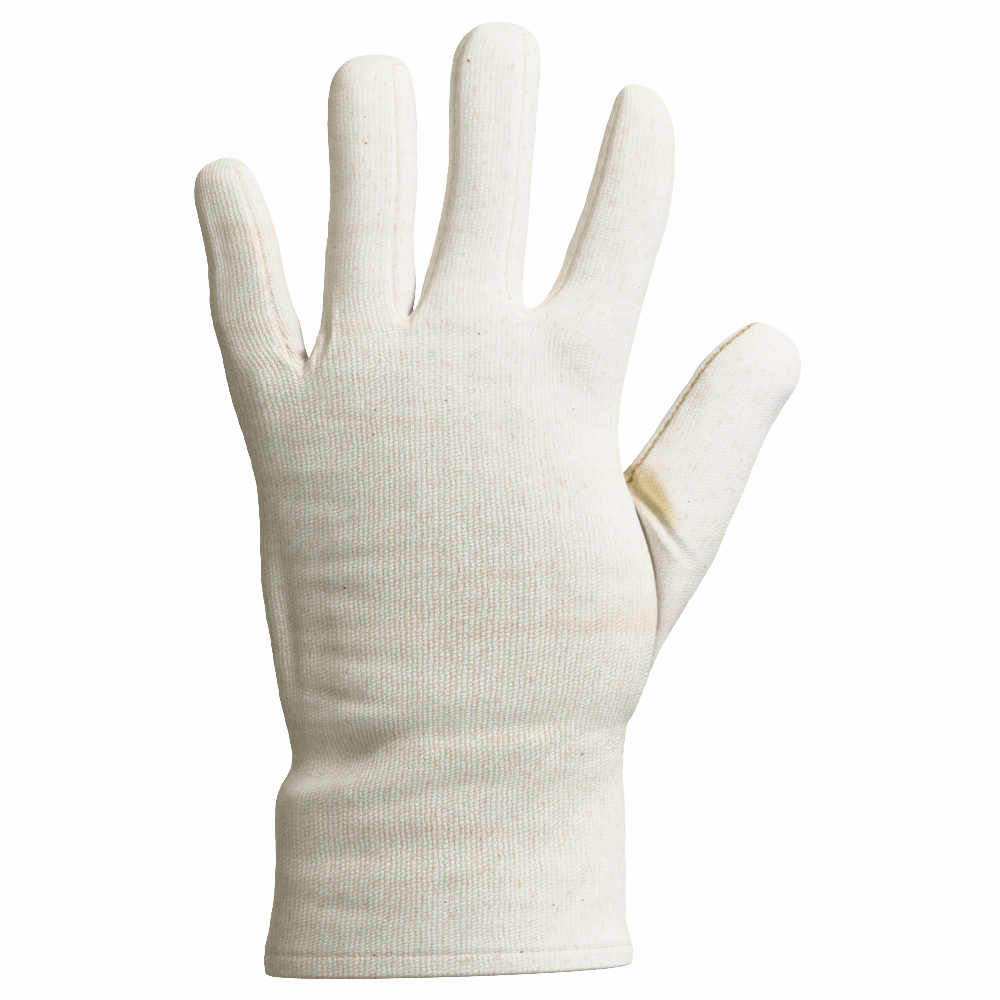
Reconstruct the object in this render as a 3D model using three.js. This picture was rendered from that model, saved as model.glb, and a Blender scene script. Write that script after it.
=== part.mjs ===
// Cotton jersey work glove for a left hand, in the shape that it has when it is worn.
// It is cut and sewn: a back panel and a palm panel that both run from the hem to the
// fingertips, three fourchettes that line the sides of neighbouring fingers, a thumb of
// two halves set into a hole at the side, and a hem turned up round the hand opening.
// Millimetres. +X is the thumb side, +Y the palm side and +Z the way the fingers point.
// The origin is the middle of the hand opening, at the hem.
import * as THREE from "three";

// Cloth and seams
const clothThickness = 1.5;
const hemThickness = 2.8; // the cloth and its turned-up edge
const hemHeight = 6;
const seamGap = 0.3; // between two panels, where the seam runs
const sharpestCorner = 0.4; // keeps a panel's sharp corners from drawing back too far

// The hand part, from the hem to the roots of the fingers
const bodyHeight = 147; // at the sides
const handWidth = 103; // across the widest part of the palm
const handDepth = 40;
const cuffDepth = 48;
const hemSlope = 3; // the thumb side of the hem is this much higher
const thumbHoleBottom = 69;
const thumbHoleTop = 117;
const thumbHoleReach = 0.9; // how far the hole's columns are drawn into the palm

const lerp = THREE.MathUtils.lerp;
const smooth = THREE.MathUtils.smoothstep;
const rad = THREE.MathUtils.degToRad;

// Sections of the hand part between hem and finger roots. stage is where the section lies:
// 0 from the hem to the bottom of the thumb hole, 1 beside the hole and 2 above it, and up
// is its share of that stage. left and right are shares of handWidth from the middle, and
// back and palm are shares of the depth there. square rounds the section off: 2 is an
// ellipse and more is boxier.
const stages = [0, thumbHoleBottom, thumbHoleTop, bodyHeight];
const bodySections = [
  { stage: 0, up: 0.188, left: 0.449, right: 0.446, back: 0.49, palm: 0.49, square: 2.1 },
  { stage: 0, up: 0.392, left: 0.433, right: 0.446, back: 0.49, palm: 0.49, square: 2.1 },
  { stage: 0, up: 0.652, left: 0.438, right: 0.439, back: 0.48, palm: 0.49, square: 2.1 },
  { stage: 0, up: 0.771, left: 0.4, right: 0.439, back: 0.47, palm: 0.49, square: 2.2 },
  { stage: 0, up: 0.903, left: 0.408, right: 0.448, back: 0.47, palm: 0.51, square: 2.2 },
  { stage: 1, up: 0, left: 0.424, right: 0.483, back: 0.46, palm: 0.54, square: 2.3 },
  { stage: 1, up: 0.345, left: 0.454, right: 0.522, back: 0.45, palm: 0.53, square: 2.4 },
  { stage: 1, up: 0.673, left: 0.477, right: 0.51, back: 0.44, palm: 0.48, square: 2.4 },
  { stage: 2, up: 0, left: 0.479, right: 0.449, back: 0.42, palm: 0.43, square: 2.4 },
  { stage: 2, up: 0.5, left: 0.512, right: 0.426, back: 0.39, palm: 0.4, square: 2.4 },
];
const hemSection = { left: 0.466, right: 0.464, back: 0.5, palm: 0.5, square: 2.1 };

// Shares of bodyHeight between which the sections take on the height, spacing and depth
// that they have at the finger roots, and over which the thumb hole's pull fades out.
const heightDrift = [0.35, 1];
const spacingDrift = [0.55, 1.05];
const depthDrift = [0.25, 0.6];
const holeFade = { below: 0.3, above: 0.2 };

// Where the fingers part, from the little finger's outer side to the index finger's.
// The web between ring and middle finger lies at middleWeb, a share of handWidth, and the
// others follow from the widths of the fingers. height is a share of bodyHeight. seam is
// how far the seam's corners lie from the web's own middle, a share of handWidth, and reach
// is how far they stand forward and back, a share of handDepth.
const middleWeb = { index: 2, across: -0.09 };
const webs = [
  { height: 1.034, seam: 0.02, reach: 0.17 },
  { height: 1.068, seam: -0.03, reach: 0.27 },
  { height: 1.147, seam: -0.015, reach: 0.29 },
  { height: 1.161, seam: -0.01, reach: 0.28 },
  { height: 1.068, seam: -0.02, reach: 0.17 },
];
const cornerDrop = 0.5; // how much lower a seam's corner lies for each mm off the middle

// Digits. lean is the angle from straight up towards the thumb, and curl how far the tip
// comes towards the palm. square rounds its sections off, as in the hand part. backSeams
// and palmSeams are the angles, seen from the tip, at which the two seams of each side
// run: 0 is the thumb side and -90 the back of the hand.
// rootWidth is the distance between a finger's two webs, a share of its width.
// Rows of sections hold along, a share of length; across and width, shares of width;
// depth, a share of depth; and tilt, the section's turn from square to the digit. The tip
// is two points, spread apart by a share of width.
const fingers = [
  {
    name: "little", length: 58, width: 21, depth: 18.5, lean: -12.5, curl: 9, square: 2.4,
    rootWidth: 1.074, rootDepth: 24, backSeams: [-150, -60], palmSeams: [150, 14],
    sections: [
      { along: 0.15, across: -0.04, width: 1.041, depth: 1.05, tilt: 2 },
      { along: 0.34, across: -0.072, width: 0.995, depth: 0.98, tilt: 0 },
      { along: 0.56, across: -0.03, width: 0.91, depth: 0.98, tilt: 0 },
      { along: 0.83, across: -0.065, width: 0.84, depth: 0.88, tilt: 0 },
      { along: 0.95, across: -0.072, width: 0.63, depth: 0.6, tilt: 0 },
    ],
    tip: { along: 1.0, across: -0.055, spread: 0.25 },
  },
  {
    name: "ring", length: 75.8, width: 23.4, depth: 20.5, lean: 1.2, curl: 8, square: 2.4,
    rootWidth: 1.087, rootDepth: 27, backSeams: [-166, -61], palmSeams: [146, 22],
    sections: [
      { along: 0.14, across: 0.048, width: 1.073, depth: 1.05, tilt: 14 },
      { along: 0.34, across: 0.044, width: 0.98, depth: 0.96, tilt: 4 },
      { along: 0.55, across: 0.074, width: 0.971, depth: 1.0, tilt: 0 },
      { along: 0.83, across: 0.021, width: 0.99, depth: 0.9, tilt: 0 },
      { along: 0.955, across: 0.05, width: 0.74, depth: 0.6, tilt: 0 },
    ],
    tip: { along: 0.994, across: 0.085, spread: 0.27 },
  },
  {
    name: "middle", length: 78.1, width: 23.6, depth: 21, lean: 5.3, curl: 7, square: 2.4,
    rootWidth: 1.283, rootDepth: 28, backSeams: [-146, -54], palmSeams: [142, 34],
    sections: [
      { along: 0.13, across: -0.009, width: 1.076, depth: 1.06, tilt: 0 },
      { along: 0.34, across: 0.047, width: 0.973, depth: 0.97, tilt: 0 },
      { along: 0.55, across: 0.046, width: 0.952, depth: 1.0, tilt: 0 },
      { along: 0.83, across: 0.012, width: 1.0, depth: 0.9, tilt: 0 },
      { along: 0.95, across: 0.045, width: 0.72, depth: 0.62, tilt: 0 },
    ],
    tip: { along: 0.987, across: 0.045, spread: 0.25 },
  },
  {
    name: "index", length: 68.8, width: 23, depth: 20.5, lean: 11.6, curl: 8, square: 2.4,
    rootWidth: 1.102, rootDepth: 26, backSeams: [-142, -38], palmSeams: [146, 38],
    sections: [
      { along: 0.15, across: 0.113, width: 1.055, depth: 1.05, tilt: -9 },
      { along: 0.34, across: 0.174, width: 0.99, depth: 0.97, tilt: -2 },
      { along: 0.55, across: 0.246, width: 0.948, depth: 1.0, tilt: 0 },
      { along: 0.82, across: 0.213, width: 0.81, depth: 0.88, tilt: 0 },
      { along: 0.945, across: 0.138, width: 0.53, depth: 0.6, tilt: 0 },
    ],
    tip: { along: 0.991, across: 0.09, spread: 0.2 },
  },
];
const thumb = {
  name: "thumb", length: 70, width: 25.5, depth: 23, lean: 29.8, curl: 7, square: 2,
  root: { across: 0.48, height: 0.7245, forward: 0.25 }, // shares of handWidth, bodyHeight, handDepth
  backSeams: [-122, -36], palmSeams: [176, 36],
  sections: [
    { along: 0.113, across: 0.06, width: 1.5, depth: 1.2, tilt: -34 },
    { along: 0.347, across: 0.06, width: 1.22, depth: 1.1, tilt: -19 },
    { along: 0.68, across: 0.024, width: 0.98, depth: 1.0, tilt: 0 },
    { along: 0.845, across: 0.074, width: 0.935, depth: 0.92, tilt: 4 },
    { along: 0.955, across: 0.077, width: 0.66, depth: 0.62, tilt: 3 },
  ],
  tip: { along: 1.002, across: 0.035, spread: 0.28 },
};

// Folds of the cloth. side is -1 on the back and 1 on the palm. across, height and reach
// are shares of handWidth, bodyHeight and handWidth; angle is measured from level.
// width is a share of bodyHeight. depth is in shares of clothThickness, and a negative one
// is a ridge.
const folds = [
  { side: -1, across: -0.41, height: 0.57, angle: 88, reach: 0.31, width: 0.1, depth: 4.0 },
  { side: -1, across: -0.6, height: 1.28, angle: 102, reach: 0.25, width: 0.05, depth: 1.6 },
  { side: -1, across: -0.27, height: 0.39, angle: 20, reach: 0.16, width: 0.035, depth: 2.2 },
  { side: -1, across: -0.28, height: 0.33, angle: 10, reach: 0.2, width: 0.03, depth: -0.7 },
  { side: -1, across: 0.1, height: 0.398, angle: 8, reach: 0.4, width: 0.035, depth: -0.7 },
  { side: -1, across: -0.2, height: 0.219, angle: 4, reach: 0.3, width: 0.03, depth: 0.7 },
  { side: -1, across: 0.25, height: 0.224, angle: 52, reach: 0.2, width: 0.04, depth: 0.7 },
  { side: -1, across: -0.28, height: 0.459, angle: 5, reach: 0.25, width: 0.03, depth: 0.6 },
  { side: 1, across: 0.05, height: 0.388, angle: -6, reach: 0.4, width: 0.04, depth: 1.2 },
  { side: 1, across: -0.1, height: 0.296, angle: 5, reach: 0.35, width: 0.04, depth: -0.8 },
  { side: 1, across: 0.12, height: 0.714, angle: -58, reach: 0.26, width: 0.04, depth: 1.0 },
];

// The hand part's rings have ringCount points: the little finger's outer side, the back
// from left to right, the thumb side, and the palm from right to left.
const fingerFaces = 3; // across each finger, on the back and on the palm
const backPoints = fingers.length * fingerFaces + 1;
const ringCount = 2 * backPoints + 2;
const rightSide = backPoints + 1;

// A point of a rounded section, where angle 0 is +X and -90 degrees is the back.
function roundedPoint(angle, square) {
  const bend = (v) => Math.sign(v) * Math.abs(v) ** (2 / square);
  return { x: bend(Math.cos(angle)), y: bend(Math.sin(angle)) };
}

// The angles of a digit's ten section points: four on the back, one on the thumb side,
// four on the palm and one on the outer side.
function digitAngles({ backSeams, palmSeams }) {
  const row = (a, b) => [0, 1, 2, 3].map((k) => lerp(a, b, k / fingerFaces));
  const outer = (backSeams[0] + 360 + palmSeams[0]) / 2;
  return [
    ...row(...backSeams),
    (backSeams[1] + palmSeams[1]) / 2,
    ...row(palmSeams[1], palmSeams[0]),
    outer,
  ].map(rad);
}

// A digit's own frame: where it starts, the way that it points and its thumb side.
function digitFrame(digit, root) {
  const lean = rad(digit.lean);
  return {
    root,
    up: new THREE.Vector3(Math.sin(lean), 0, Math.cos(lean)),
    side: new THREE.Vector3(Math.cos(lean), 0, -Math.sin(lean)),
  };
}

function digitPoint(digit, frame, along, across, forward, tilt = 0) {
  const bow = digit.curl * along * along;
  return frame.root
    .clone()
    .addScaledVector(frame.up, along * digit.length + across * Math.sin(rad(tilt)))
    .addScaledVector(frame.side, across * Math.cos(rad(tilt)))
    .add(new THREE.Vector3(0, forward + bow, 0));
}

// The section rings of a digit above its root, and the two middle points of its tip.
function digitRings(digit, frame) {
  const angles = digitAngles(digit);
  const rings = digit.sections.map((s) =>
    angles.map((angle) => {
      const p = roundedPoint(angle, digit.square);
      const centre = s.across * digit.width * Math.cos(rad(s.tilt));
      const q = digitPoint(
        digit, frame, s.along, (p.x * s.width * digit.width) / 2, (p.y * s.depth * digit.depth) / 2, s.tilt,
      );
      return q.addScaledVector(frame.side, centre);
    }),
  );
  const { along, across, spread } = digit.tip;
  const tips = [-1, 1].map((way) =>
    digitPoint(digit, frame, along, (across + (way * spread) / 2) * digit.width, 0),
  );
  return { rings, tips };
}

// The ring round the finger roots, where each web has a back corner, a middle and a palm
// corner. The webs' middles aren't on the ring, apart from the two outer sides.
function rootRing() {
  const span = (from, to) =>
    fingers.slice(from, to).reduce((sum, finger) => sum + finger.rootWidth * finger.width, 0);
  const { index, across } = middleWeb;
  const corner = webs.map((web, w) => {
    const x = across * handWidth + (w < index ? -span(w, index) : span(index, w));
    const z = web.height * bodyHeight;
    return {
      middle: new THREE.Vector3(x, 0, z),
      x: x + web.seam * handWidth,
      z: z - Math.abs(web.seam) * handWidth * cornerDrop,
      reach: web.reach * handDepth,
    };
  });
  const row = (face) =>
    fingers.flatMap((finger, f) =>
      [0, 1, 2, 3].slice(f ? 1 : 0).map((k) => {
        const [a, b] = [corner[f], corner[f + 1]];
        const t = k / fingerFaces;
        const swell = Math.sin(Math.PI * t);
        return new THREE.Vector3(
          lerp(a.x, b.x, t),
          face * lerp(lerp(a.reach, b.reach, t), finger.rootDepth / 2, swell),
          lerp(a.z, b.z, t),
        );
      }),
    );
  const ring = [corner[0].middle, ...row(-1), corner.at(-1).middle, ...row(1).reverse()];
  return { ring, webMiddles: corner.slice(1, -1).map((c) => c.middle) };
}

// One ring of the hand part, drifting from an even section to the roots' own spacing.
function bodyRing(section, root) {
  const share = section.height / bodyHeight;
  const rise = smooth(share, ...heightDrift);
  const spacing = smooth(share, ...spacingDrift);
  const depth = lerp(cuffDepth, handDepth, smooth(share, ...depthDrift));
  const [low, high] = [thumbHoleBottom / bodyHeight, thumbHoleTop / bodyHeight];
  const belowHole = smooth(share, low - holeFade.below, low);
  const aboveHole = smooth(share, high, high + holeFade.above);
  const left = -section.left * handWidth;
  const right = section.right * handWidth;
  const [rootLeft, rootRight] = [root[0].x, root[rightSide].x];
  return root.map((top, j) => {
    const inward = Math.max(0, j / rightSide - 1);
    const drawn = thumbHoleReach * inward * (1 - inward) ** 2 * belowHole * (1 - aboveHole);
    const even = roundedPoint(Math.PI * (1 + (2 * j) / ringCount + drawn), section.square);
    const onSide = j % rightSide === 0;
    const across = lerp(even.x, ((top.x - rootLeft) / (rootRight - rootLeft)) * 2 - 1, spacing);
    const reach = onSide ? 0 : (1 - Math.abs(across) ** section.square) ** (1 / section.square);
    const x = lerp(left, right, (across + 1) / 2);
    const y = j < rightSide ? -reach * section.back * depth : reach * section.palm * depth;
    const slope = hemSlope * (x / handWidth) * (1 - share);
    return new THREE.Vector3(x, y, section.height + (top.z - bodyHeight) * rise + slope);
  });
}

// The glove as one sheet of quads. Each quad knows the panel that it is cut from.
function gloveSheet() {
  const points = [];
  const quads = [];
  const add = (ring) => ring.map((p) => points.push(p) - 1);
  const { ring: root, webMiddles } = rootRing();

  const sections = [
    { ...hemSection, height: 0 },
    { ...hemSection, height: hemHeight },
    ...bodySections.map((s) => ({ ...s, height: lerp(stages[s.stage], stages[s.stage + 1], s.up) })),
  ];
  const rows = [...sections.map((s) => add(bodyRing(s, root))), add(root)];
  const holeRows = [1, 2].map((stage) => sections.findIndex((s) => s.stage === stage));
  const holeColumns = [rightSide, rightSide + 2];
  for (let r = 0; r + 1 < rows.length; r++)
    for (let j = 0; j < ringCount; j++) {
      const inHole =
        r >= holeRows[0] && r < holeRows[1] && j >= holeColumns[0] && j < holeColumns[1];
      if (inHole) continue;
      const next = (j + 1) % ringCount;
      const panel = r === 0 ? "cuff_hem" : j < rightSide ? "back_panel" : "palm_panel";
      quads.push({ panel, corners: [rows[r][j], rows[r][next], rows[r + 1][next], rows[r + 1][j]] });
    }

  // A digit grows from a ring of ten points that are already there.
  function grow(digit, frame, rootPoints, panelOf) {
    const { rings, tips } = digitRings(digit, frame);
    let below = rootPoints;
    for (const ring of rings.map(add)) {
      ring.forEach((p, k) => {
        const n = (k + 1) % ring.length;
        quads.push({ panel: panelOf(k), corners: [below[k], below[n], ring[n], p] });
      });
      below = ring;
    }
    const [f0, f1, f2, f3, right, b3, b2, b1, b0, left] = below;
    const [m1, m2] = add(tips);
    for (const corners of [[f0, f1, m1, left], [f1, f2, m2, m1], [f2, f3, right, m2]])
      quads.push({ panel: panelOf(1), corners });
    for (const corners of [[left, m1, b1, b0], [m1, m2, b2, b1], [m2, right, b3, b2]])
      quads.push({ panel: panelOf(6), corners });
  }

  const top = rows.at(-1);
  const webPoints = [top[0], ...add(webMiddles), top[rightSide]];
  fingers.forEach((finger, f) => {
    const first = 1 + fingerFaces * f;
    const back = [0, 1, 2, 3].map((k) => top[first + k]);
    const palm = [0, 1, 2, 3].map((k) => top[ringCount - first - k]).reverse();
    const [left, right] = [webPoints[f], webPoints[f + 1]];
    const middle = points[left].clone().add(points[right]).multiplyScalar(0.5);
    const sides = [`fourchette_${f}`, `fourchette_${f + 1}`];
    const outer = [f === 0, f === fingers.length - 1];
    grow(finger, digitFrame(finger, middle), [...back, right, ...palm, left], (k) => {
      if (k < 3) return "back_panel";
      if (k > 4 && k < 8) return "palm_panel";
      const s = k > 4 ? 0 : 1;
      if (!outer[s]) return sides[s];
      return k === 3 || k === 9 ? "back_panel" : "palm_panel";
    });
  });

  const [low, high] = holeRows;
  const [c0, c1, c2] = [rightSide, rightSide + 1, rightSide + 2];
  const down = [];
  for (let r = high; r >= low; r--) down.push(r);
  const holeRing = [
    ...down.map((r) => rows[r][c0]),
    rows[low][c1],
    ...down.map((r) => rows[r][c2]).reverse(),
    rows[high][c1],
  ];
  const thumbRoot = new THREE.Vector3(
    thumb.root.across * handWidth, thumb.root.forward * handDepth, thumb.root.height * bodyHeight,
  );
  grow(thumb, digitFrame(thumb, thumbRoot), holeRing, (k) =>
    k < 4 || k === 9 ? "thumb_back" : "thumb_palm",
  );
  return { points, quads };
}

const middleOf = (points) =>
  points.reduce((sum, p) => sum.add(p), new THREE.Vector3()).divideScalar(points.length);

// One step of Catmull-Clark subdivision. The sheet's points come first in the result.
function subdivide({ points, quads }) {
  const edges = new Map();
  const edgeOf = (a, b) => {
    const key = a < b ? `${a} ${b}` : `${b} ${a}`;
    if (!edges.has(key)) edges.set(key, { ends: [a, b], faces: [], index: 0 });
    return edges.get(key);
  };
  const faceMiddles = quads.map((q) => middleOf(q.corners.map((i) => points[i])));
  const around = points.map(() => ({ faces: [], edges: new Set() }));
  quads.forEach((q, f) =>
    q.corners.forEach((a, k) => {
      const edge = edgeOf(a, q.corners[(k + 1) % 4]);
      edge.faces.push(faceMiddles[f]);
      around[a].faces.push(faceMiddles[f]);
      for (const end of edge.ends) around[end].edges.add(edge);
    }),
  );
  const finer = points.map((p, i) => {
    const near = [...around[i].edges];
    const rim = near.filter((e) => e.faces.length === 1);
    const across = (list) => list.map((e) => points[e.ends[0] === i ? e.ends[1] : e.ends[0]]);
    if (rim.length) return middleOf([...Array(6).fill(p), ...across(rim)]);
    const n = near.length;
    const mids = middleOf(across(near)).add(p).multiplyScalar(0.5);
    return p
      .clone()
      .multiplyScalar((n - 3) / n)
      .addScaledVector(mids, 2 / n)
      .addScaledVector(middleOf(around[i].faces), 1 / n);
  });
  finer.push(...faceMiddles);
  for (const edge of edges.values()) {
    const ends = edge.ends.map((i) => points[i]);
    edge.index = finer.push(middleOf(edge.faces.length === 2 ? [...ends, ...edge.faces] : ends)) - 1;
  }
  const finerQuads = quads.flatMap(({ panel, corners }, f) =>
    corners.map((a, k) => ({
      panel,
      corners: [
        a,
        edgeOf(a, corners[(k + 1) % 4]).index,
        points.length + f,
        edgeOf(a, corners[(k + 3) % 4]).index,
      ],
    })),
  );
  return { points: finer, quads: finerQuads };
}

// Where the sheet's own points end up on the smooth surface.
const settled = (sheet) => subdivide(subdivide(sheet)).points.slice(0, sheet.points.length);

// Moves the sheet's points out until its smooth surface passes through the sections.
function fitted(sheet, rounds = 8) {
  const points = sheet.points.map((p) => p.clone());
  for (let round = 0; round < rounds; round++) {
    const now = settled({ points, quads: sheet.quads });
    points.forEach((p, i) => p.add(sheet.points[i]).sub(now[i]));
  }
  return { points, quads: sheet.quads };
}

function normalsOf({ points, quads }) {
  const normals = points.map(() => new THREE.Vector3());
  for (const { corners } of quads) {
    const [a, b, c, d] = corners.map((i) => points[i]);
    const normal = c.clone().sub(a).cross(d.clone().sub(b));
    for (const i of corners) normals[i].add(normal);
  }
  return normals.map((n) => n.normalize());
}

// How far the folds push the cloth in at a point.
function foldDepth(p, normal) {
  return folds.reduce((sum, fold) => {
    const facing = Math.max(0, normal.y * fold.side);
    const dx = p.x - fold.across * handWidth;
    const dz = p.z - fold.height * bodyHeight;
    const [c, s] = [Math.cos(rad(fold.angle)), Math.sin(rad(fold.angle))];
    const along = (dx * c + dz * s) / (fold.reach * handWidth);
    const over = (dz * c - dx * s) / (fold.width * bodyHeight);
    return sum + facing * fold.depth * clothThickness * Math.exp(-(along ** 2) - over ** 2);
  }, 0);
}

function gloveSurface() {
  const sheet = subdivide(fitted(gloveSheet()));
  sheet.points = settled(sheet);
  const normals = normalsOf(sheet);
  sheet.points.forEach((p, i) => p.addScaledVector(normals[i], -foldDepth(p, normals[i])));
  return sheet;
}

// The directed edges that only one of the quads has.
function rimOf(quads) {
  const rim = new Map();
  for (const { corners } of quads)
    corners.forEach((a, k) => {
      const b = corners[(k + 1) % 4];
      if (!rim.delete(`${b} ${a}`)) rim.set(`${a} ${b}`, [a, b]);
    });
  return [...rim.values()];
}

// Cuts one panel out of the sheet and gives it its thickness, inwards. Its seams draw back
// by half the gap, and the edge of the hand opening stays where it is.
function panelGeometry(sheet, normals, panel, thickness) {
  const quads = sheet.quads.filter((q) => q.panel === panel);
  const rim = rimOf(quads);
  const opening = new Set(rimOf(sheet.quads).flat());
  const outer = new Map(quads.flatMap((q) => q.corners).map((i) => [i, sheet.points[i].clone()]));
  const inwards = new Map();
  for (const [a, b] of rim) {
    const way = sheet.points[b].clone().sub(sheet.points[a]);
    for (const i of [a, b]) {
      const left = normals[i].clone().cross(way).normalize();
      inwards.set(i, [...(inwards.get(i) ?? []), left]);
    }
  }
  for (const [i, [one, other]] of inwards)
    if (!opening.has(i)) {
      const corner = Math.max(sharpestCorner, 1 + one.dot(other));
      outer.get(i).addScaledVector(one.clone().add(other), seamGap / 2 / corner);
    }
  const inner = (i) => outer.get(i).clone().addScaledVector(normals[i], -thickness);
  const corners = [];
  const quad = (a, b, c, d) => corners.push(a, b, c, a, c, d);
  for (const { corners: [a, b, c, d] } of quads) {
    quad(...[a, b, c, d].map((i) => outer.get(i)));
    quad(...[d, c, b, a].map(inner));
  }
  // Both panels of a seam split its wall along the same diagonal.
  for (const [a, b] of rim) {
    const wall = [outer.get(b), outer.get(a), inner(a), inner(b)];
    if (a > b) wall.push(wall.shift());
    quad(...wall);
  }
  const geometry = new THREE.BufferGeometry().setFromPoints(corners);
  geometry.computeVertexNormals();
  return geometry;
}

const jersey = () =>
  new THREE.MeshStandardMaterial({ color: 0xe6e1d6, roughness: 0.95, metalness: 0 });
const panels = [
  { node: "back_panel", from: "back_panel", thickness: clothThickness },
  { node: "palm_panel", from: "palm_panel", thickness: clothThickness },
  { node: "fourchette_little_ring", from: "fourchette_1", thickness: clothThickness },
  { node: "fourchette_ring_middle", from: "fourchette_2", thickness: clothThickness },
  { node: "fourchette_middle_index", from: "fourchette_3", thickness: clothThickness },
  { node: "thumb_back", from: "thumb_back", thickness: clothThickness },
  { node: "thumb_palm", from: "thumb_palm", thickness: clothThickness },
  { node: "cuff_hem", from: "cuff_hem", thickness: hemThickness },
];

const glove = new THREE.Group();
const surface = gloveSurface();
const surfaceNormals = normalsOf(surface);
for (const { node, from, thickness } of panels) {
  const mesh = new THREE.Mesh(panelGeometry(surface, surfaceNormals, from, thickness), jersey());
  mesh.name = node;
  glove.add(mesh);
}

export default glove;
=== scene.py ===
# Cotton jersey work glove for a left hand, held up with its fingers pointing up.
# The panels are cut from one smooth surface, each gets its thickness inwards, and the
# stitches run along the seams between them. Sizes are in millimetres until a mesh is made.
import math
import bpy
import numpy as np
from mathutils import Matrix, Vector, kdtree


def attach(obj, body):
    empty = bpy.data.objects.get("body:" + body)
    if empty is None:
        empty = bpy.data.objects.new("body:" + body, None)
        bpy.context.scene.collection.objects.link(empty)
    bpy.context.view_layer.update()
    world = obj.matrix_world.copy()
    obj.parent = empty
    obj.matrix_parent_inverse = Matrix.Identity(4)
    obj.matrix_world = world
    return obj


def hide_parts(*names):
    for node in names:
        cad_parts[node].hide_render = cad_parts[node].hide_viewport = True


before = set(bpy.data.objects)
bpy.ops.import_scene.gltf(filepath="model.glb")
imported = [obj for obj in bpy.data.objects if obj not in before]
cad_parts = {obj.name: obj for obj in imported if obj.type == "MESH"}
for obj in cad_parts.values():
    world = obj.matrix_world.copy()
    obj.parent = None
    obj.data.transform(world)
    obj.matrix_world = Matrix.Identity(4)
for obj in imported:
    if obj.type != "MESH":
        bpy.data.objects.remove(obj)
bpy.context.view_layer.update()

mm = 0.001

glove = {
    "clothThickness": 1.5,
    "hemThickness": 2.8,
    "hemHeight": 6,
    "bodyHeight": 147,
    "handWidth": 103,
    "handDepth": 40,
    "cuffDepth": 48,
    "hemSlope": 3,
    "thumbHoleBottom": 69,
    "thumbHoleTop": 117,
    "thumbHoleReach": 0.9,
    "fineness": 4,       # how often the outside is subdivided, and the inside once less
    "seamGap": 0.06,
    "fitRounds": 8,
    "halfWales": 51,     # half a panel's width on the flat cloth
    "walesKept": 0.8,    # how far the knitting's columns follow the hand's outline
    "sharpAngle": 70,
}

# Sections of the hand part: stage, up, left, right, back, palm, square
stages = [0, glove["thumbHoleBottom"], glove["thumbHoleTop"], glove["bodyHeight"]]
bodySections = [
    (0, 0.188, 0.449, 0.446, 0.49, 0.49, 2.1),
    (0, 0.392, 0.433, 0.446, 0.49, 0.49, 2.1),
    (0, 0.652, 0.438, 0.439, 0.48, 0.49, 2.1),
    (0, 0.771, 0.4, 0.439, 0.47, 0.49, 2.2),
    (0, 0.903, 0.408, 0.448, 0.47, 0.51, 2.2),
    (1, 0, 0.424, 0.483, 0.46, 0.54, 2.3),
    (1, 0.345, 0.454, 0.522, 0.45, 0.53, 2.4),
    (1, 0.673, 0.477, 0.51, 0.44, 0.48, 2.4),
    (2, 0, 0.479, 0.449, 0.42, 0.43, 2.4),
    (2, 0.5, 0.512, 0.426, 0.39, 0.4, 2.4),
]
hemSection = (0.466, 0.464, 0.5, 0.5, 2.1)

# Where, as shares of its height, the hand part's sections take up the heights, spacing and
# depth that it has at the fingers, and how softly they are drawn to the thumb's hole
drift = {
    "height": (0.35, 1),
    "spacing": (0.55, 1.05),
    "depth": (0.25, 0.6),
    "belowHole": 0.3,
    "aboveHole": 0.2,
}

# Where the fingers part: height, seam, reach
middleWeb = {"index": 2, "across": -0.09}
webs = [
    (1.034, 0.02, 0.17),
    (1.068, -0.03, 0.27),
    (1.147, -0.015, 0.29),
    (1.161, -0.01, 0.28),
    (1.068, -0.02, 0.17),
]
cornerDrop = 0.5

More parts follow.
